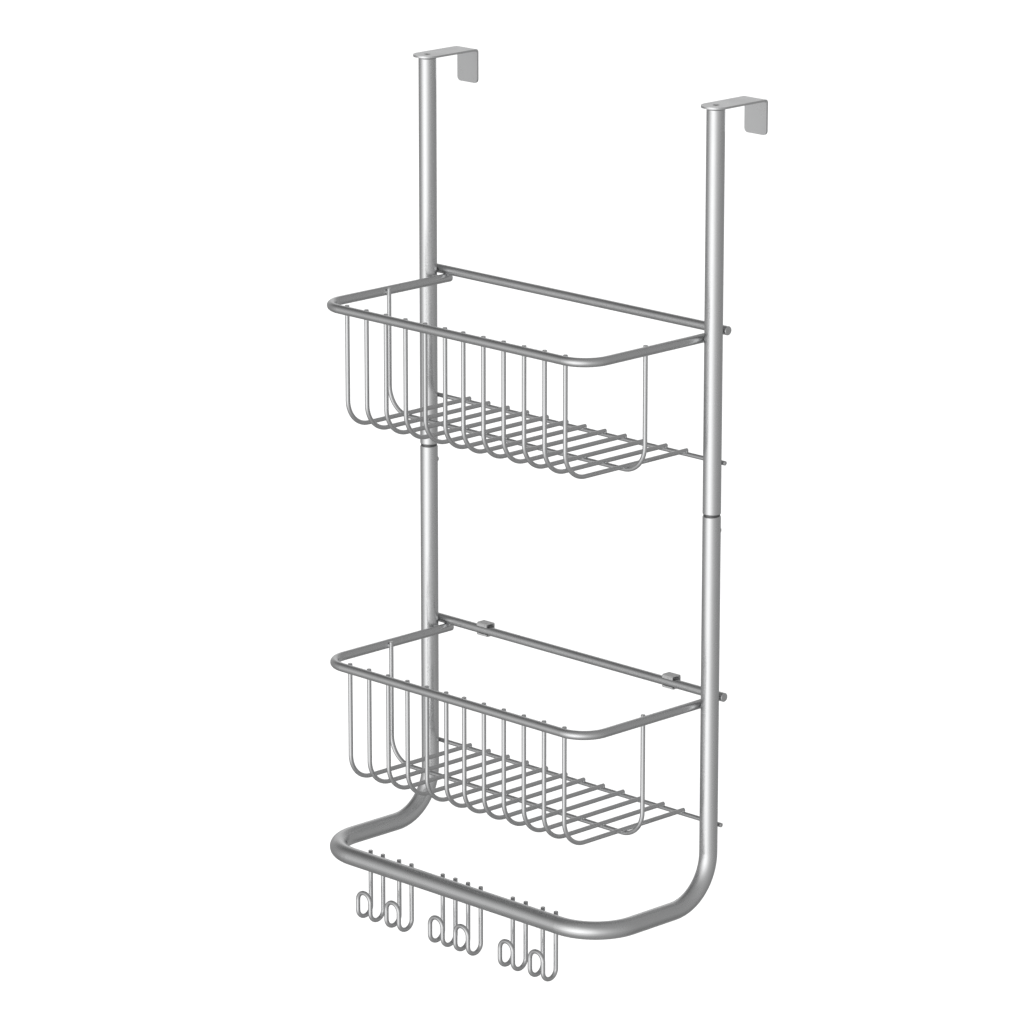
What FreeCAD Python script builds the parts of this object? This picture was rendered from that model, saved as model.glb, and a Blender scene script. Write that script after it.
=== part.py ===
import FreeCAD, Part
import math
import os

# Over-the-door shower caddy: two wire baskets, a towel rail and six hooks on a tube frame.
#
# The frame hangs from two flat brackets that hook over the top of a door. +X is to the right for
# someone facing the baskets, -Y points at that person, +Y at the door, and +Z is up. The origin is
# midway between the two tubes, on their axes' plane, at the height of the door's top edge.
# All sizes are millimetres. Every function below makes one kind of piece, and each is a solid.

V = FreeCAD.Vector
NEAR = 1e-4

# ---- stock ----
TUBE_D = 16.0
TUBE_WALL = 1.2
ROD_D = 8.0
WIRE_D = 4.0
PLATE_T = 1.8
WELD_SINK = 0.2
CROSS_SINK = 1.3
FIT_GAP = 0.05
END_BREAK = 0.4

# ---- frame ----
TUBE_SPAN = 350.0
SEAM_Z = -356.3
SEAM_GAP = 1.6
TUBE_END_ROUND = 1.0
LOOP_Z = -706.4
LOOP_FRONT = 141.2
LOOP_BEND_R = 44.0
LOOP_CORNER_R = 43.5
DRAIN_D = 3.2
DRAIN_TILT = 25.0

# ---- joint between the two halves of the frame ----
SLEEVE_REACH = 32.0
SLEEVE_COLLAR_LIP = 0.5
SLEEVE_WALL = 2.0
JOINT_SCREW_D = 3.5
JOINT_SCREW_HEAD_D = 6.4
JOINT_SCREW_HEAD_H = 1.8
JOINT_SCREW_CROWN_R = 1.1
JOINT_SCREW_NECK = 0.5
JOINT_SCREW_DROP = 15.0
DRILL_OVERRUN = 2.0

# ---- brackets over the door ----
BRACKET_W = 25.4
BRACKET_REACH = 51.4
BRACKET_DROP = 31.3
BRACKET_BEND_R = 3.0
BRACKET_CORNER_R = 4.0
PLUG_LIP = 1.0
PLUG_LIP_STEP = 0.5
PLUG_DEPTH = 20.0
BRACKET_SCREW_D = 3.0
BRACKET_SCREW_HEAD_D = 5.6
BRACKET_SCREW_HEAD_H = 1.3
BRACKET_SCREW_L = 18.0
SCREW_RECESS = 0.2
SCREW_DRIVE_W = 0.8
SCREW_DRIVE_L = 3.0
SCREW_DRIVE_DEPTH = 0.8

# ---- baskets ----
RIM_Z = (-201.8, -529.3)
RIM_FRONT = 144.6
RIM_CORNER_R = 25.0
RIM_OVERRUN = 4.0
RAIL_SINK = 0.8
REAR_OVERHANG = 6.5
BASKET_DEPTH = 106.7
WIRE_BEND_R = 24.5
WIRE_PITCH = 24.55
WIRE_CENTRE_GAP = 22.4
WIRES_PER_SIDE = 6
WIRE_TOP = 3.5
WIRE_OVERRUN = 2.4
CROSS_WIRE_Y = -65.7

# ---- bumper clips on the lower basket's rear rail ----
CLIP_X = 116.0
CLIP_W = 12.4
CLIP_WALL = 1.0
CLIP_ROD_GAP = 0.3
CLIP_FRONT = 3.5
CLIP_HEADROOM = 1.6
CLIP_BACK_ROOM = 2.0
CLIP_TOP_LIP = 3.4
CLIP_LOW_LIP = 2.2
CLIP_ROUND = 1.7

# ---- hooks ----
HOOK_X = (16.0, 72.0, 109.0)
HOOK_LEG_SPACING = 16.0
HOOK_BEND_R = 8.0
HOOK_BOTTOM = 53.2
HOOK_TIP = 28.0
HOOK_TOP = 7.2

# ---- worked out from the values above ----
TUBE_R = TUBE_D / 2
ROD_R = ROD_D / 2
WIRE_R = WIRE_D / 2
TUBE_X = TUBE_SPAN / 2
BORE_R = TUBE_R - TUBE_WALL
RIM_X = TUBE_X - TUBE_R - ROD_R + WELD_SINK
RAIL_Y = TUBE_R + ROD_R - WELD_SINK
RAIL_RISE = ROD_D - RAIL_SINK
RIM_END = RAIL_Y + RIM_OVERRUN
FLOOR_ROD_Y = TUBE_R + WIRE_R - WELD_SINK
WIRE_REAR_END = FLOOR_ROD_Y + WIRE_OVERRUN
REAR_HALF = TUBE_X + REAR_OVERHANG
WIRE_Y = -(RIM_FRONT - ROD_R - WIRE_R + WELD_SINK)
CROSS_WIRE_X = RIM_X - ROD_R - WIRE_R + WELD_SINK
CROSS_DROP = WIRE_D - CROSS_SINK
CLIP_LOW = ROD_R + CLIP_ROD_GAP + CLIP_WALL
CLIP_HIGH = CLIP_LOW + CLIP_HEADROOM
CLIP_BACK = ROD_R + CLIP_ROD_GAP + CLIP_BACK_ROOM + CLIP_WALL
HOOK_LEG_Y = -(LOOP_FRONT - TUBE_R - WIRE_R + WELD_SINK)
SIDES = (("left", -1), ("right", 1))
BASKETS = (("upper", RIM_Z[0]), ("lower", RIM_Z[1]))


def route(points, radius):
    """Edges along a line of points, with a tangent arc of this radius at each inner point."""
    edges = []
    start = points[0]
    for before, corner, after in zip(points, points[1:], points[2:]):
        back = (before - corner).normalize()
        ahead = (after - corner).normalize()
        half = back.getAngle(ahead) / 2
        cut = radius / math.tan(half)
        arc_in = corner + back * cut
        arc_out = corner + ahead * cut
        centre = corner + (back + ahead).normalize() * (radius / math.sin(half))
        middle = centre + (corner - centre).normalize() * radius
        if (arc_in - start).Length > NEAR:
            edges.append(Part.LineSegment(start, arc_in).toShape())
        edges.append(Part.Arc(arc_in, middle, arc_out).toShape())
        start = arc_out
    if (points[-1] - start).Length > NEAR:
        edges.append(Part.LineSegment(start, points[-1]).toShape())
    return edges


def swept(edges, radius):
    """A round bar of this radius along the edges."""
    first = edges[0]
    start = first.valueAt(first.FirstParameter)
    along = first.tangentAt(first.FirstParameter)
    ring = Part.Wire([Part.Circle(start, along, radius).toShape()])
    return Part.Wire(edges).makePipeShell([ring], True, True)


def end_edges(solid, ends, radius):
    """The circular edges of this radius that lie round the given end points."""
    found = []
    for edge in solid.Edges:
        if not hasattr(edge.Curve, "Center"):
            continue
        if abs(edge.Curve.Radius - radius) > NEAR:
            continue
        if any((edge.Curve.Center - end).Length < NEAR for end in ends):
            found.append(edge)
    return found


def bar(points, radius, bend_r):
    """A bent round bar with its two cut ends broken by a small chamfer."""
    solid = swept(route(points, bend_r), radius)
    ends = (points[0], points[-1])
    return solid.makeChamfer(END_BREAK, end_edges(solid, ends, radius))


# ---- frame ----

def upper_tube(side):
    """One straight upper tube, from under the plug's lip down to the seam."""
    top = -PLUG_LIP
    bottom = SEAM_Z + SEAM_GAP / 2
    outer = Part.makeCylinder(TUBE_R, top - bottom, V(side * TUBE_X, 0, bottom))
    bore = Part.makeCylinder(BORE_R, top - bottom, V(side * TUBE_X, 0, bottom))
    tube = outer.cut(bore)
    rims = end_edges(tube, (V(side * TUBE_X, 0, bottom), V(side * TUBE_X, 0, top)), TUBE_R)
    return tube.makeFillet(TUBE_END_ROUND, rims)


def loop_points():
    """The corner points of the lower tube, from the left seam round the front to the right."""
    top = SEAM_Z - SEAM_GAP / 2
    return [
        V(-TUBE_X, 0, top),
        V(-TUBE_X, 0, LOOP_Z),
        V(-TUBE_X, -LOOP_FRONT, LOOP_Z),
        V(TUBE_X, -LOOP_FRONT, LOOP_Z),
        V(TUBE_X, 0, LOOP_Z),
        V(TUBE_X, 0, top),
    ]


def loop_edges():
    """The lower tube's centre line: two vertical bends and two corners in plan."""
    left_top, left_foot, left_front, right_front, right_foot, right_top = loop_points()
    left_bend = route([left_top, left_foot, left_front], LOOP_BEND_R)[:2]
    right_bend = route([right_front, right_foot, right_top], LOOP_BEND_R)[1:]
    left_out = left_bend[-1].valueAt(left_bend[-1].LastParameter)
    right_in = right_bend[0].valueAt(right_bend[0].FirstParameter)
    front = route([left_out, left_front, right_front, right_in], LOOP_CORNER_R)
    return left_bend + front + right_bend


def lower_frame_tube():
    """The lower tube, bent from one length, with screw holes behind and drain holes in front."""
    edges = loop_edges()
    tube = swept(edges, TUBE_R).cut(swept(edges, BORE_R))
    top = SEAM_Z - SEAM_GAP / 2
    ends = [V(side * TUBE_X, 0, top) for _, side in SIDES]
    tube = tube.makeFillet(TUBE_END_ROUND, end_edges(tube, ends, TUBE_R))
    for _, side in SIDES:
        tube = tube.cut(joint_screw_hole(side, JOINT_SCREW_D / 2 + FIT_GAP))
        tube = tube.cut(drain_hole(side))
    return tube


def drain_hole(side):
    """A drill from a front corner's centre line, inwards and upwards, through one wall only."""
    centre = V(side * (TUBE_X - LOOP_CORNER_R), LOOP_CORNER_R - LOOP_FRONT, LOOP_Z)
    outward = V(side, -1, 0).normalize()
    tilt = math.radians(DRAIN_TILT)
    aim = outward * -math.cos(tilt) + V(0, 0, math.sin(tilt))
    return Part.makeCylinder(DRAIN_D / 2, TUBE_D, centre + outward * LOOP_CORNER_R, aim)


def joint_sleeve(side):
    """The sleeve inside the seam, with a collar that the two tubes butt against."""
    radius = BORE_R - FIT_GAP
    low = SEAM_Z - SLEEVE_REACH
    body = Part.makeCylinder(radius, 2 * SLEEVE_REACH, V(side * TUBE_X, 0, low))
    collar_z = SEAM_Z - SEAM_GAP / 2
    collar = Part.makeCylinder(BORE_R + SLEEVE_COLLAR_LIP, SEAM_GAP, V(side * TUBE_X, 0, collar_z))
    bore = Part.makeCylinder(radius - SLEEVE_WALL, 2 * SLEEVE_REACH, V(side * TUBE_X, 0, low))
    sleeve = body.fuse(collar).cut(bore).removeSplitter()
    return sleeve.cut(joint_screw_hole(side, JOINT_SCREW_D / 2))


def joint_screw_hole(side, radius):
    """A drill from the sleeve's bore out through its rear wall and the tube's."""
    inner_y = TUBE_R - TUBE_WALL - SLEEVE_WALL - DRILL_OVERRUN
    start = V(side * TUBE_X, inner_y, SEAM_Z - JOINT_SCREW_DROP)
    return Part.makeCylinder(radius, TUBE_R + DRILL_OVERRUN - inner_y, start, V(0, 1, 0))


def joint_screw(side):
    """A button-head screw that locks one lower tube end to its sleeve, from behind."""
    back = V(0, 1, 0)
    seat = V(side * TUBE_X, TUBE_R, SEAM_Z - JOINT_SCREW_DROP)
    crown = seat + back * JOINT_SCREW_HEAD_H
    length = TUBE_WALL + SLEEVE_WALL
    radius = JOINT_SCREW_D / 2
    head_r = JOINT_SCREW_HEAD_D / 2
    shank = Part.makeCylinder(radius, length + JOINT_SCREW_NECK, seat - back * length, back)
    head = Part.makeCylinder(head_r, JOINT_SCREW_HEAD_H, seat, back)
    head = head.makeFillet(JOINT_SCREW_CROWN_R, end_edges(head, [crown], head_r))
    return shank.fuse(head).removeSplitter().cut(cross_drive(crown, back))


def cross_drive(top, outward):
    """The cross recess of a screw, sunk from a point on its head."""
    turn = FreeCAD.Rotation(V(0, 0, 1), outward)
    bars = []
    for length, width in ((SCREW_DRIVE_L, SCREW_DRIVE_W), (SCREW_DRIVE_W, SCREW_DRIVE_L)):
        block = Part.makeBox(length, width, 2 * SCREW_DRIVE_DEPTH)
        block.translate(V(-length / 2, -width / 2, -SCREW_DRIVE_DEPTH))
        block.Placement = FreeCAD.Placement(top, turn).multiply(block.Placement)
        bars.append(block)
    return bars[0].fuse(bars[1])


# ---- brackets ----

def tube_plug(side):
    """The plug in a tube's top: a lip that the bracket turns on and a threaded core."""
    lip = Part.makeCylinder(BORE_R + PLUG_LIP_STEP, PLUG_LIP, V(side * TUBE_X, 0, -PLUG_LIP))
    core = Part.makeCylinder(BORE_R - FIT_GAP, PLUG_DEPTH, V(side * TUBE_X, 0, -PLUG_LIP - PLUG_DEPTH))
    hole = Part.makeCylinder(BRACKET_SCREW_D / 2, PLUG_DEPTH, V(side * TUBE_X, 0, -PLUG_DEPTH))
    return lip.fuse(core).removeSplitter().cut(hole)


def door_bracket(side):
    """A flat strap with a round front end, turned down behind to hook over the door."""
    bend = BRACKET_BEND_R
    inner = BRACKET_BEND_R - PLATE_T
    back = BRACKET_REACH
    low = PLATE_T - BRACKET_DROP
    half_w = BRACKET_W / 2
    root = math.sqrt(0.5)
    profile = Part.Wire([
        Part.LineSegment(V(0, -half_w, 0), V(0, -half_w, PLATE_T)).toShape(),
        Part.LineSegment(V(0, -half_w, PLATE_T), V(0, back - bend, PLATE_T)).toShape(),
        Part.Arc(
            V(0, back - bend, PLATE_T),
            V(0, back - bend + bend * root, PLATE_T - bend + bend * root),
            V(0, back, PLATE_T - bend),
        ).toShape(),
        Part.LineSegment(V(0, back, PLATE_T - bend), V(0, back, low)).toShape(),
        Part.LineSegment(V(0, back, low), V(0, back - PLATE_T, low)).toShape(),
        Part.LineSegment(V(0, back - PLATE_T, low), V(0, back - PLATE_T, PLATE_T - bend)).toShape(),
        Part.Arc(
            V(0, back - PLATE_T, PLATE_T - bend),
            V(0, back - bend + inner * root, PLATE_T - bend + inner * root),
            V(0, back - bend, 0),
        ).toShape(),
        Part.LineSegment(V(0, back - bend, 0), V(0, -half_w, 0)).toShape(),
    ])
    strap = Part.Face(profile).extrude(V(BRACKET_W, 0, 0))
    strap.translate(V(side * TUBE_X - half_w, 0, 0))
    strap = strap.common(bracket_outline(side)).removeSplitter()
    strap = strap.makeFillet(BRACKET_CORNER_R, flange_corner_edges(strap))
    return strap.cut(countersink(side))


def bracket_outline(side):
    """The strap's outline from above: a half disc in front and a straight run to the back."""
    half_w = BRACKET_W / 2
    disc = Part.makeCylinder(half_w, 2 * BRACKET_DROP, V(side * TUBE_X, 0, -BRACKET_DROP))
    run = Part.makeBox(BRACKET_W, BRACKET_REACH, 2 * BRACKET_DROP)
    run.translate(V(side * TUBE_X - half_w, 0, -BRACKET_DROP))
    return disc.fuse(run).removeSplitter()


def flange_corner_edges(strap):
    """The two short edges at the flange's lower corners."""
    low = PLATE_T - BRACKET_DROP
    found = []
    for edge in strap.Edges:
        ends = [vertex.Point for vertex in edge.Vertexes]
        at_foot = all(abs(point.z - low) < NEAR for point in ends)
        if at_foot and abs(ends[0].x - ends[-1].x) < NEAR:
            found.append(edge)
    return found


def countersink(side):
    """The countersunk hole through the strap, a running gap larger than the screw all round."""
    return screw_form(side, FIT_GAP, DRILL_OVERRUN)


def screw_form(side, gap, above):
    """A countersunk screw's outline grown by a gap, with its head's cylinder going on above."""
    axis = V(side * TUBE_X, 0, 0)
    top = PLATE_T - SCREW_RECESS
    head_r = BRACKET_SCREW_HEAD_D / 2 + gap
    shank_r = BRACKET_SCREW_D / 2 + gap
    seat = top - BRACKET_SCREW_HEAD_H
    cone = Part.makeCone(shank_r, head_r, BRACKET_SCREW_HEAD_H, axis + V(0, 0, seat))
    shank = Part.makeCylinder(shank_r, BRACKET_SCREW_L, axis + V(0, 0, top - BRACKET_SCREW_L))
    form = cone.fuse(shank)
    if above > 0:
        form = form.fuse(Part.makeCylinder(head_r, above, axis + V(0, 0, top)))
    return form.removeSplitter()


def bracket_screw(side):
    """The countersunk screw that clamps a bracket to its plug and that the bracket turns on."""
    top = V(side * TUBE_X, 0, PLATE_T - SCREW_RECESS)
    return screw_form(side, 0.0, 0.0).cut(cross_drive(top, V(0, 0, 1)))


# ---- baskets ----

def basket_rim(z):
    """The rim rod: a U in plan whose ends pass under the rear rail."""
    points = [
        V(-RIM_X, RIM_END, z),
        V(-RIM_X, -RIM_FRONT, z),
        V(RIM_X, -RIM_FRONT, z),
        V(RIM_X, RIM_END, z),
    ]
    return bar(points, ROD_R, RIM_CORNER_R)


def rear_rail(z):
    """The straight rod behind the tubes, on top of the rim's ends."""
    height = z + RAIL_RISE
    return bar([V(-REAR_HALF, RAIL_Y, height), V(REAR_HALF, RAIL_Y, height)], ROD_R, 0.0)


def floor_rod(z):
    """The straight wire behind the tubes that the floor wires end on."""
    height = z - BASKET_DEPTH - CROSS_DROP
    return bar([V(-REAR_HALF, FLOOR_ROD_Y, height), V(REAR_HALF, FLOOR_ROD_Y, height)], WIRE_R, 0.0)


def cross_wire(z):
    """The wire across under the floor, turned up at both ends inside the rim's side runs."""
    floor = z - BASKET_DEPTH - CROSS_DROP
    points = [
        V(-CROSS_WIRE_X, CROSS_WIRE_Y, z + WIRE_TOP),
        V(-CROSS_WIRE_X, CROSS_WIRE_Y, floor),
        V(CROSS_WIRE_X, CROSS_WIRE_Y, floor),
        V(CROSS_WIRE_X, CROSS_WIRE_Y, z + WIRE_TOP),
    ]
    return bar(points, WIRE_R, WIRE_BEND_R)


def basket_wire(x, z):
    """One wire down the front and back along the floor, over the cross wire and the floor rod."""
    points = [
        V(x, WIRE_Y, z + WIRE_TOP),
        V(x, WIRE_Y, z - BASKET_DEPTH),
        V(x, WIRE_REAR_END, z - BASKET_DEPTH),
    ]
    return bar(points, WIRE_R, WIRE_BEND_R)


def wire_places():
    """The wires' X places from left to right: an even pitch, and a closer pair at the middle."""
    right = [WIRE_CENTRE_GAP / 2 + i * WIRE_PITCH for i in range(WIRES_PER_SIDE)]
    return [-x for x in reversed(right)] + right


# ---- bumper clips ----

def bumper_clip(side):
    """A C-shaped clip that snaps over the lower rear rail from behind, its flat back to the door."""
    rail_z = RIM_Z[1] + RAIL_RISE
    x0 = side * CLIP_X - CLIP_W / 2
    corner = V(x0, RAIL_Y - CLIP_FRONT, rail_z - CLIP_LOW)
    depth = CLIP_FRONT + CLIP_BACK
    height = CLIP_LOW + CLIP_HIGH
    block = Part.makeBox(CLIP_W, depth, height, corner)
    long_edges = [edge for edge in block.Edges if abs(edge.Vertexes[0].X - edge.Vertexes[1].X) > NEAR]
    block = block.makeFillet(CLIP_ROUND, long_edges)
    wall = V(0, CLIP_WALL, CLIP_WALL)
    hollow = Part.makeBox(CLIP_W, depth - 2 * CLIP_WALL, height - 2 * CLIP_WALL, corner + wall)
    gap = height - CLIP_TOP_LIP - CLIP_LOW_LIP
    mouth = Part.makeBox(CLIP_W, 2 * CLIP_WALL, gap, corner + V(0, -CLIP_WALL, CLIP_LOW_LIP))
    return block.cut(hollow).cut(mouth).cut(rail_clearance(x0, rail_z))


def rail_clearance(x0, rail_z):
    """The rail's own space inside a clip, a small gap larger all round."""
    return Part.makeCylinder(ROD_R + CLIP_ROD_GAP, CLIP_W, V(x0, RAIL_Y, rail_z), V(1, 0, 0))


# ---- hooks ----

def hook(x):
    """A hook bent from one wire: two legs behind the rail, two forward bends and a round tip."""
    tip_y = HOOK_LEG_Y - 2 * HOOK_BEND_R
    left = x - HOOK_LEG_SPACING / 2
    right = x + HOOK_LEG_SPACING / 2
    top = LOOP_Z + HOOK_TOP
    turn = LOOP_Z - HOOK_BOTTOM + HOOK_BEND_R
    tip = LOOP_Z - HOOK_TIP
    shoulder = tip - HOOK_LEG_SPACING / 2
    mid_y = HOOK_LEG_Y - HOOK_BEND_R
    bottom = LOOP_Z - HOOK_BOTTOM
    edges = [
        Part.LineSegment(V(left, HOOK_LEG_Y, top), V(left, HOOK_LEG_Y, turn)).toShape(),
        Part.Arc(V(left, HOOK_LEG_Y, turn), V(left, mid_y, bottom), V(left, tip_y, turn)).toShape(),
        Part.LineSegment(V(left, tip_y, turn), V(left, tip_y, shoulder)).toShape(),
        Part.Arc(V(left, tip_y, shoulder), V(x, tip_y, tip), V(right, tip_y, shoulder)).toShape(),
        Part.LineSegment(V(right, tip_y, shoulder), V(right, tip_y, turn)).toShape(),
        Part.Arc(V(right, tip_y, turn), V(right, mid_y, bottom), V(right, HOOK_LEG_Y, turn)).toShape(),
        Part.LineSegment(V(right, HOOK_LEG_Y, turn), V(right, HOOK_LEG_Y, top)).toShape(),
    ]
    solid = swept(edges, WIRE_R)
    ends = (V(left, HOOK_LEG_Y, top), V(right, HOOK_LEG_Y, top))
    return solid.makeChamfer(END_BREAK, end_edges(solid, ends, WIRE_R))


# ---- assembly ----

def basket_nodes(name, z):
    """Every piece of one basket, by node name."""
    nodes = {
        f"{name}_basket_rim": basket_rim(z),
        f"{name}_basket_rear_rail": rear_rail(z),
        f"{name}_basket_floor_rod": floor_rod(z),
        f"{name}_basket_cross_wire": cross_wire(z),
    }
    for number, x in enumerate(wire_places(), start=1):
        nodes[f"{name}_basket_wire_{number:02d}"] = basket_wire(x, z)
    return nodes


def side_nodes(name, side):
    """The pieces that each side of the frame has one of."""
    return {
        f"upper_tube_{name}": upper_tube(side),
        f"joint_sleeve_{name}": joint_sleeve(side),
        f"tube_plug_{name}": tube_plug(side),
        f"door_bracket_{name}": door_bracket(side),
        f"bracket_screw_{name}": bracket_screw(side),
        f"bumper_clip_{name}": bumper_clip(side),
    }


def hook_nodes():
    """The six hooks from left to right."""
    places = [-x for x in reversed(HOOK_X)] + list(HOOK_X)
    return {f"hook_{number}": hook(x) for number, x in enumerate(places, start=1)}


def all_nodes():
    """The whole caddy, one entry per piece."""
    nodes = {"lower_frame_tube": lower_frame_tube()}
    nodes["joint_screws"] = Part.makeCompound([joint_screw(side) for _, side in SIDES])
    for name, side in SIDES:
        nodes.update(side_nodes(name, side))
    for name, z in BASKETS:
        nodes.update(basket_nodes(name, z))
    nodes.update(hook_nodes())
    return nodes


os.makedirs("parts", exist_ok=True)
for node, shape in all_nodes().items():
    if not shape.isValid():
        raise ValueError(f"{node} is not a valid solid")
    shape.exportStep(f"parts/{node}.step")
    print(node, round(shape.Volume, 1), len(shape.Solids))
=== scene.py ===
import bpy
import math
import random
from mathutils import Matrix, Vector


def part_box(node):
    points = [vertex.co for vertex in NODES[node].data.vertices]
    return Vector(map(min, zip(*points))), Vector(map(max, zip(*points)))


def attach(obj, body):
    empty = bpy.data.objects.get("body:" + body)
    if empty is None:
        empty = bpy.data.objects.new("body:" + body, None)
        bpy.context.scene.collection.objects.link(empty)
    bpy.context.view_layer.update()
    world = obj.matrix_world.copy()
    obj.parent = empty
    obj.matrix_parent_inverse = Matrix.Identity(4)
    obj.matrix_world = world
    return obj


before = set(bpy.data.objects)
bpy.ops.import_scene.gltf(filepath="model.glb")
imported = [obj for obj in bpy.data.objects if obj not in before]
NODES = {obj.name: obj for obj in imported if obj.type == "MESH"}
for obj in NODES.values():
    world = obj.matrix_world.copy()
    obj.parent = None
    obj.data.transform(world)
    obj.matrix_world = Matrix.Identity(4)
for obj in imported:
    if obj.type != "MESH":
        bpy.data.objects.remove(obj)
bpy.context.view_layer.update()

# ---- camera: a long lens in front, 45 degrees to the right and 15 degrees above ----
CAMERA_AT = (3.11210, -3.18057, 0.80529)
CAMERA_AZIMUTH = 45.0
CAMERA_ELEVATION = 15.0
CAMERA_LENS = 182.70
CAMERA_SENSOR = 36.0
CAMERA_NEAR = 0.05
CAMERA_FAR = 200.0

# ---- stage ----
FLOOR_Z = -2.03
FLOOR_HALF = 40.0
FLOOR_TONE = 0.9
FLOOR_ROUGHNESS = 0.9
FLOOR_SHEEN = 0.1
FLOOR_GLOW = 0.75

# ---- light: (azimuth, its spread, elevation, its spread, strength), angles in degrees;
# a strength below 0 makes a darker area ----
SURROUND = 0.46
LIGHTS = (
    (10.0, 31.0, -5.0, 27.0, 1.75),
    (82.0, 26.0, -10.0, 40.0, 0.16),
    (-95.0, 34.0, 48.0, 16.0, -0.28),
    (-135.0, 17.0, 15.0, 10.0, 0.6),
    (165.0, 30.0, -46.0, 14.0, -0.16),
    (-110.0, 35.0, -38.0, 14.0, -0.13),
)

# ---- finishes: tints of the darker and the lighter clouds; a cloud is (per metre, detail, roughness),
# a grain is (detail, roughness) with its size in mm, a bump is (strength, height in metres) ----
METAL_TINTS = ((0.96, 0.965, 0.97), (1.018, 1.025, 1.032))
METAL_CLOUD = (55.0, 3.0, 0.55)
METAL_GRAIN = (2.0, 0.6)
METAL_GRAIN_MM = 0.25
METAL_UNEVEN = (-0.02, 0.03)
METAL_SPECK = 0.015
METAL_BUMP = (0.08, 0.00003)
PLASTIC_TINTS = ((0.96, 0.96, 0.96), (1.04, 1.04, 1.04))
PLASTIC_CLOUD = (160.0, 3.0, 0.5)
PLASTIC_GRAIN = (3.0, 0.6)
PLASTIC_GRAIN_MM = 0.45
PLASTIC_UNEVEN = (-0.04, 0.05)
PLASTIC_BUMP = (0.25, 0.00003)
PLASTIC_IOR = 1.49
NOISE_LOW = 0.3
NOISE_HIGH = 0.7
MM_PER_M = 1000.0

# ---- stock and weld beads: lengths in metres, and each bead as its half sizes in x, y, z ----
WIRE_R = 0.002
ROD_R = 0.004
TUBE_R = 0.008
BEAD_BANDS = 7
BEAD_SIDES = 12
BEAD_UNEVEN = 0.16
BEAD_SHIFT = 0.0002
FLOOR_BEAD = (0.0010, 0.0012, 0.0009)
FRONT_BEAD = (0.0009, 0.0009, 0.0017)
SIDE_BEAD = (0.0009, 0.0009, 0.0017)
RIM_BEAD = (0.0012, 0.0026, 0.0011)
RAIL_BEAD = (0.0026, 0.0012, 0.0011)
SEAT_BEAD = (0.0011, 0.0017, 0.0010)
ROD_END_BEAD = (0.0018, 0.0009, 0.0009)
HOOK_BEAD = (0.0010, 0.0010, 0.0021)

# ---- how far a bead's middle lies from the piece's middle, or from the face it starts at ----
BESIDE_FLOOR_WIRE = 0.95 * WIRE_R
BESIDE_FRONT_WIRE = 0.9 * WIRE_R
BESIDE_ROD = 0.82 * ROD_R
BESIDE_SEAT = 0.72 * ROD_R
ABOVE_FLOOR_ROD = 0.0001
OFF_RIM = 0.0004
OFF_TUBE_SIDE = 0.0007
OFF_TUBE_BACK_RAIL = 0.0006
OFF_TUBE_BACK_ROD = 0.0003
BELOW_RAIL = 0.0002
HOOK_INSET = 1.8 * WIRE_R


def make_camera():
    """The camera at the photograph's viewing angle."""
    data = bpy.data.cameras.new("camera")
    data.lens = CAMERA_LENS
    data.sensor_width = CAMERA_SENSOR
    data.clip_start = CAMERA_NEAR
    data.clip_end = CAMERA_FAR
    camera = bpy.data.objects.new("camera", data)
    camera.location = CAMERA_AT
    camera.rotation_euler = (math.radians(90.0 - CAMERA_ELEVATION), 0.0, math.radians(CAMERA_AZIMUTH))
    bpy.context.scene.collection.objects.link(camera)
    bpy.context.scene.camera = camera


# ---- node helpers ----

def math_node(tree, operation, a, b=None):
    """A Math node whose inputs are numbers or sockets; gives its output socket."""
    made = tree.nodes.new("ShaderNodeMath")
    made.operation = operation
    for socket, value in zip(made.inputs, (a, b)):
        if value is None:
            continue
        if isinstance(value, (int, float)):
            socket.default_value = value
        else:
            tree.links.new(value, socket)
    return made.outputs[0]


def smooth_step(tree, value, low, high, out_low, out_high):
    """Maps a socket smoothly from one range to another."""
    made = tree.nodes.new("ShaderNodeMapRange")
    made.interpolation_type = "SMOOTHSTEP"
    tree.links.new(value, made.inputs["Value"])
    for name, number in (("From Min", low), ("From Max", high), ("To Min", out_low), ("To Max", out_high)):
        made.inputs[name].default_value = number
    return made.outputs["Result"]


# ---- light ----

def bell(tree, value, centre, spread):
    """A smooth bump: 1 where the socket has the centre's value, falling off with the spread."""
    offset = math_node(tree, "SUBTRACT", value, centre)
    scaled = math_node(tree, "DIVIDE", offset, spread)
    square = math_node(tree, "MULTIPLY", scaled, scaled)
    return math_node(tree, "EXPONENT", math_node(tree, "MULTIPLY", square, -0.5))


def lobe(tree, azimuth, height, light):
    """One soft light or darker area: (azimuth, its spread, elevation, its spread, strength)."""
    round_it = bell(tree, azimuth, light[0], light[1])
    up_it = bell(tree, height, light[2], light[3])
    return math_node(tree, "MULTIPLY", math_node(tree, "MULTIPLY", round_it, up_it), light[4])


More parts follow.
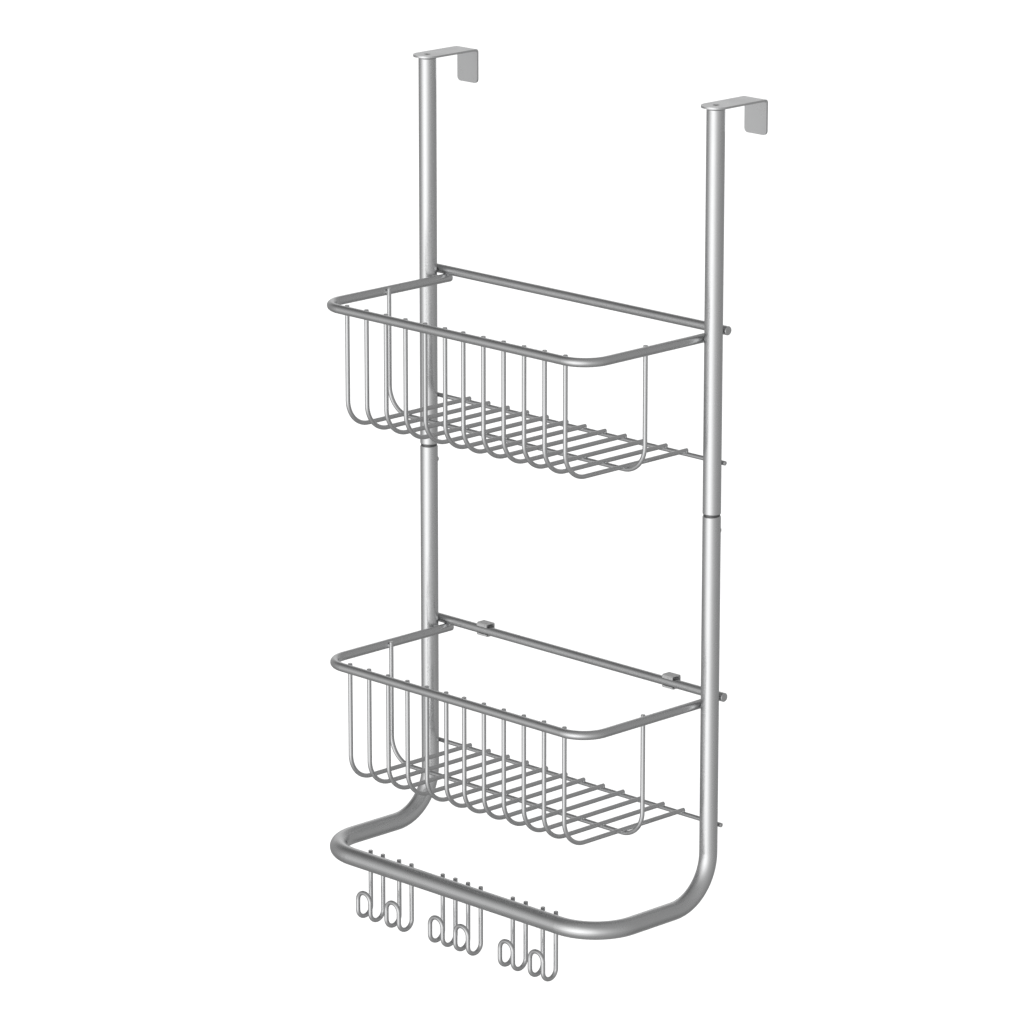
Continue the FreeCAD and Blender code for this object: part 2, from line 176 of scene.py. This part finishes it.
def make_world():
    """An even pale surround with broad lighter and darker areas; azimuth 0 is -Y, 90 is +X."""
    world = bpy.data.worlds.new("studio")
    bpy.context.scene.world = world
    world.use_nodes = True
    tree = world.node_tree
    tree.nodes.clear()
    out = tree.nodes.new("ShaderNodeOutputWorld")
    back = tree.nodes.new("ShaderNodeBackground")
    tree.links.new(back.outputs[0], out.inputs["Surface"])
    coords = tree.nodes.new("ShaderNodeTexCoord").outputs["Generated"]
    split = tree.nodes.new("ShaderNodeSeparateXYZ")
    tree.links.new(coords, split.inputs[0])
    x, y, z = split.outputs
    degrees = 180.0 / math.pi
    turn = math_node(tree, "ARCTAN2", x, math_node(tree, "MULTIPLY", y, -1.0))
    azimuth = math_node(tree, "MULTIPLY", turn, degrees)
    height = math_node(tree, "MULTIPLY", math_node(tree, "ARCSINE", z), degrees)
    total = SURROUND
    for light in LIGHTS:
        total = math_node(tree, "ADD", lobe(tree, azimuth, height, light), total)
    tree.links.new(total, back.inputs["Strength"])


def make_floor():
    """The pale floor far below the hanging caddy."""
    mesh = bpy.data.meshes.new("floor")
    h = FLOOR_HALF
    corners = [(-h, -h, FLOOR_Z), (h, -h, FLOOR_Z), (h, h, FLOOR_Z), (-h, h, FLOOR_Z)]
    mesh.from_pydata(corners, [], [(0, 1, 2, 3)])
    floor = bpy.data.objects.new("floor", mesh)
    bpy.context.scene.collection.objects.link(floor)
    material = bpy.data.materials.new("floor_pale")
    material.use_nodes = True
    shader = material.node_tree.nodes["Principled BSDF"]
    shader.inputs["Base Color"].default_value = (FLOOR_TONE, FLOOR_TONE, FLOOR_TONE, 1.0)
    shader.inputs["Roughness"].default_value = FLOOR_ROUGHNESS
    shader.inputs["Specular IOR Level"].default_value = FLOOR_SHEEN
    shader.inputs["Emission Color"].default_value = (1.0, 1.0, 1.0, 1.0)
    shader.inputs["Emission Strength"].default_value = FLOOR_GLOW
    mesh.materials.append(material)
    floor.visible_glossy = False
    floor.visible_diffuse = False


# ---- materials ----

def noise(tree, coords, per_metre, detail, roughness):
    """A noise pattern in the object's own coordinates; gives its grey socket."""
    made = tree.nodes.new("ShaderNodeTexNoise")
    tree.links.new(coords, made.inputs["Vector"])
    made.inputs["Scale"].default_value = per_metre
    made.inputs["Detail"].default_value = detail
    made.inputs["Roughness"].default_value = roughness
    return made.outputs["Fac"]


def tint(tree, shader, pattern, tone, tints):
    """Colours the surface between two tints of one grey tone, following a pattern."""
    mix = tree.nodes.new("ShaderNodeMixRGB")
    for name, shade in zip(("Color1", "Color2"), tints):
        mix.inputs[name].default_value = tuple(tone * part for part in shade) + (1.0,)
    tree.links.new(pattern, mix.inputs["Fac"])
    tree.links.new(mix.outputs["Color"], shader.inputs["Base Color"])


def emboss(tree, shader, pattern, strength, distance):
    """Raises the surface slightly by a pattern."""
    bump = tree.nodes.new("ShaderNodeBump")
    bump.inputs["Strength"].default_value = strength
    bump.inputs["Distance"].default_value = distance
    tree.links.new(pattern, bump.inputs["Height"])
    tree.links.new(bump.outputs["Normal"], shader.inputs["Normal"])


def metal(name, tone, roughness, grain_mm=METAL_GRAIN_MM):
    """Satin plated steel: fine grain, a soft cloudiness and slightly uneven roughness."""
    material = bpy.data.materials.new(name)
    material.use_nodes = True
    tree = material.node_tree
    shader = tree.nodes["Principled BSDF"]
    shader.inputs["Metallic"].default_value = 1.0
    coords = tree.nodes.new("ShaderNodeTexCoord").outputs["Object"]
    cloud = noise(tree, coords, *METAL_CLOUD)
    grain = noise(tree, coords, MM_PER_M / grain_mm, *METAL_GRAIN)
    tint(tree, shader, cloud, tone, METAL_TINTS)
    low, high = (roughness + part for part in METAL_UNEVEN)
    rough = smooth_step(tree, cloud, NOISE_LOW, NOISE_HIGH, low, high)
    speck = smooth_step(tree, grain, NOISE_LOW, NOISE_HIGH, -METAL_SPECK, METAL_SPECK)
    tree.links.new(math_node(tree, "ADD", rough, speck), shader.inputs["Roughness"])
    emboss(tree, shader, grain, *METAL_BUMP)
    return material


def plastic(name, tone, roughness):
    """Moulded plastic: a fine spark-eroded grain and faintly uneven gloss."""
    material = bpy.data.materials.new(name)
    material.use_nodes = True
    tree = material.node_tree
    shader = tree.nodes["Principled BSDF"]
    shader.inputs["IOR"].default_value = PLASTIC_IOR
    coords = tree.nodes.new("ShaderNodeTexCoord").outputs["Object"]
    cloud = noise(tree, coords, *PLASTIC_CLOUD)
    grain = noise(tree, coords, MM_PER_M / PLASTIC_GRAIN_MM, *PLASTIC_GRAIN)
    tint(tree, shader, cloud, tone, PLASTIC_TINTS)
    low, high = (roughness + part for part in PLASTIC_UNEVEN)
    rough = smooth_step(tree, cloud, NOISE_LOW, NOISE_HIGH, low, high)
    tree.links.new(rough, shader.inputs["Roughness"])
    emboss(tree, shader, grain, *PLASTIC_BUMP)
    return material


def finish_for(name, finishes):
    """The finish of the node with this name."""
    if name.startswith("bumper_clip"):
        return finishes["clip"]
    if name.startswith("tube_plug"):
        return finishes["plug"]
    if name.startswith("joint_sleeve"):
        return finishes["sleeve"]
    if name.startswith("door_bracket"):
        return finishes["plate"]
    if "screw" in name:
        return finishes["screw"]
    if "rim" in name or "rear_rail" in name:
        return finishes["rod"]
    if "wire" in name or "floor_rod" in name or name.startswith("hook"):
        return finishes["wire"]
    return finishes["tube"]


def finish_nodes():
    """Gives every CAD node its material."""
    finishes = {
        "tube": metal("satin_nickel_tube", 0.64, 0.26),
        "rod": metal("satin_nickel_rod", 0.62, 0.27),
        "wire": metal("satin_nickel_wire", 0.60, 0.28),
        "plate": metal("satin_nickel_plate", 0.64, 0.30),
        # screw head: its dark tone is painted shade, standing in for the shade in the recess around the
        # head
        "screw": metal("screw_painted_recess_shade", 0.20, 0.36),
        # joint sleeve: its dark tone is painted shade, standing in for the shade in the groove at the tube
        # seam
        "sleeve": metal("dull_sleeve_painted_seam_shade", 0.16, 0.45, 0.5),
        "clip": plastic("silver_grey_plastic", 0.60, 0.42),
        # tube plug: its near-black tone is painted shadow, standing in for the shadow in the gap under the
        # bracket plate
        "plug": plastic("plug_plastic_painted_gap_shadow", 0.05, 0.5),
    }
    for name, item in NODES.items():
        material = finish_for(name, finishes)
        for place in range(len(item.data.materials)):
            item.data.materials[place] = material


# ---- weld beads ----

def bead(centre, size, seed):
    """Corners and faces of one uneven weld bead."""
    rng = random.Random(seed)
    slant = [rng.uniform(-BEAD_UNEVEN, BEAD_UNEVEN) for _ in range(4)]
    middle = [place + rng.uniform(-BEAD_SHIFT, BEAD_SHIFT) for place in centre]
    corners = []
    for ring in range(BEAD_BANDS + 1):
        polar = math.pi * (ring + 0.5) / (BEAD_BANDS + 1)
        for side in range(BEAD_SIDES):
            turn = 2.0 * math.pi * side / BEAD_SIDES
            lump = 1.0 + slant[0] * math.cos(2.0 * turn) + slant[1] * math.sin(3.0 * turn)
            lump += slant[2] * math.cos(polar) + 0.5 * slant[3] * math.sin(turn)
            way = (math.sin(polar) * math.cos(turn), math.sin(polar) * math.sin(turn), math.cos(polar))
            corners.append([m + s * w * lump for m, s, w in zip(middle, size, way)])
    faces = [tuple(range(BEAD_SIDES))]
    for ring in range(BEAD_BANDS):
        low = ring * BEAD_SIDES
        high = low + BEAD_SIDES
        for side in range(BEAD_SIDES):
            after = (side + 1) % BEAD_SIDES
            faces.append((high + side, high + after, low + after, low + side))
    last = BEAD_BANDS * BEAD_SIDES
    faces.append(tuple(last + side for side in reversed(range(BEAD_SIDES))))
    return corners, faces


def weld_group(name, beads, material):
    """One named group of weld beads, fixed to the frame."""
    corners = []
    faces = []
    for number, (centre, size) in enumerate(beads):
        some, theirs = bead(centre, size, f"{name}_{number}")
        faces.extend(tuple(index + len(corners) for index in face) for face in theirs)
        corners.extend(some)
    mesh = bpy.data.meshes.new(name)
    mesh.from_pydata(corners, [], faces)
    mesh.polygons.foreach_set("use_smooth", [True] * len(faces))
    mesh.materials.append(material)
    group = bpy.data.objects.new(name, mesh)
    bpy.context.scene.collection.objects.link(group)
    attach(group, "frame")


def basket_wires(basket):
    """The boxes of a basket's twelve front and floor wires."""
    return [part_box(name) for name in sorted(NODES) if name.startswith(f"{basket}_basket_wire_")]


def floor_beads(basket):
    """Beads on both sides of each wire, where it crosses the floor rod and the cross wire."""
    rod_low, rod_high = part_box(f"{basket}_basket_floor_rod")
    cross_low, cross_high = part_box(f"{basket}_basket_cross_wire")
    rows = [((rod_low.y + rod_high.y) / 2, rod_high.z)]
    rows.append(((cross_low.y + cross_high.y) / 2, cross_low.z + 2 * WIRE_R))
    beads = []
    for low, high in basket_wires(basket):
        x = (low.x + high.x) / 2
        for y, top in rows:
            for side in (-1, 1):
                place = (x + side * BESIDE_FLOOR_WIRE, y, top + ABOVE_FLOOR_ROD)
                beads.append((place, FLOOR_BEAD))
    return beads


def rim_beads(basket):
    """Beads where the wires' upper ends touch the rim's inner side."""
    rim_low, rim_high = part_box(f"{basket}_basket_rim")
    z = (rim_low.z + rim_high.z) / 2
    beads = []
    for low, high in basket_wires(basket):
        x = (low.x + high.x) / 2
        for side in (-1, 1):
            beads.append(((x + side * BESIDE_FRONT_WIRE, low.y + OFF_RIM, z), FRONT_BEAD))
    low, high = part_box(f"{basket}_basket_cross_wire")
    y = (low.y + high.y) / 2
    for x in (low.x + OFF_RIM, high.x - OFF_RIM):
        for side in (-1, 1):
            beads.append(((x, y + side * BESIDE_FRONT_WIRE, z), SIDE_BEAD))
    return beads


def tube_beads(basket):
    """Beads where the rim, the rear rail and the floor rod meet the tubes and each other."""
    rim_low, rim_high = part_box(f"{basket}_basket_rim")
    rail_low, rail_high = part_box(f"{basket}_basket_rear_rail")
    rod_low, rod_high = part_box(f"{basket}_basket_floor_rod")
    rim_z = (rim_low.z + rim_high.z) / 2
    rail_z = (rail_low.z + rail_high.z) / 2
    rail_y = (rail_low.y + rail_high.y) / 2
    rod_z = (rod_low.z + rod_high.z) / 2
    beads = []
    for side, edge in ((-1, rim_low.x), (1, rim_high.x)):
        tube_x = edge + side * TUBE_R
        rim_x = edge - side * ROD_R
        for up in (-1, 1):
            on_rim = (edge - side * OFF_TUBE_SIDE, 0.0, rim_z + up * BESIDE_ROD)
            on_rail = (tube_x, TUBE_R + OFF_TUBE_BACK_RAIL, rail_z + up * BESIDE_ROD)
            on_seat = (rim_x + up * BESIDE_SEAT, rail_y, rail_low.z - BELOW_RAIL)
            on_rod = (tube_x, TUBE_R + OFF_TUBE_BACK_ROD, rod_z + up * BESIDE_FRONT_WIRE)
            beads.append((on_rim, RIM_BEAD))
            beads.append((on_rail, RAIL_BEAD))
            beads.append((on_seat, SEAT_BEAD))
            beads.append((on_rod, ROD_END_BEAD))
    return beads


def hook_beads():
    """Beads where the hooks' legs touch the back of the towel rail."""
    rail_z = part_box("lower_frame_tube")[0].z + TUBE_R
    beads = []
    for name in sorted(NODES):
        if not name.startswith("hook_"):
            continue
        low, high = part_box(name)
        for x in (low.x + WIRE_R, high.x - WIRE_R):
            for side in (-1, 1):
                beads.append(((x + side * BESIDE_FRONT_WIRE, high.y - HOOK_INSET, rail_z), HOOK_BEAD))
    return beads


def make_welds():
    """Every weld bead of the frame."""
    material = metal("satin_nickel_weld", 0.62, 0.30, 0.4)
    for basket in ("upper", "lower"):
        weld_group(f"{basket}_basket_floor_welds", floor_beads(basket), material)
        weld_group(f"{basket}_basket_rim_welds", rim_beads(basket), material)
        weld_group(f"{basket}_basket_tube_welds", tube_beads(basket), material)
    weld_group("hook_welds", hook_beads(), material)


make_camera()
make_world()
make_floor()
finish_nodes()
make_welds()
bpy.context.scene.view_settings.view_transform = "Standard"
